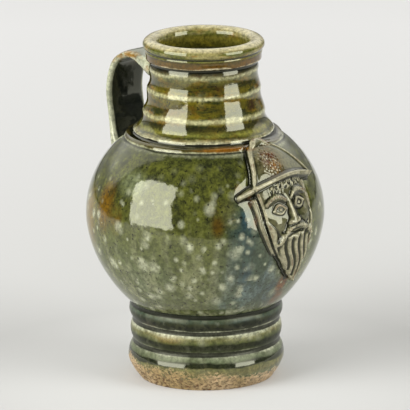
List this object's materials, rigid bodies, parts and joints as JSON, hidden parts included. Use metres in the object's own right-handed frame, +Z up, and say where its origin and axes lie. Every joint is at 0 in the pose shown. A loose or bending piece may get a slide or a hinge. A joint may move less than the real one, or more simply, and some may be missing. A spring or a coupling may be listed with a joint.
{
  "type": "salt-glazed carafe",
  "caption": "Round-bellied stoneware carafe with ribbed neck, rolled lip, strap handle, ring foot and a bearded mask in relief.",
  "frame": {"origin": "centre of the flat underside of the foot", "axes": "+Z up through the mouth, -Y the way the mask looks, +Y towards the handle"},
  "size_m": [0.1142, 0.1204, 0.1654],
  "materials": {
    "stoneware": "gloss"
  },
  "bodies": {
    "root": {"carafe": "stoneware"}
  },
  "joints": []
}
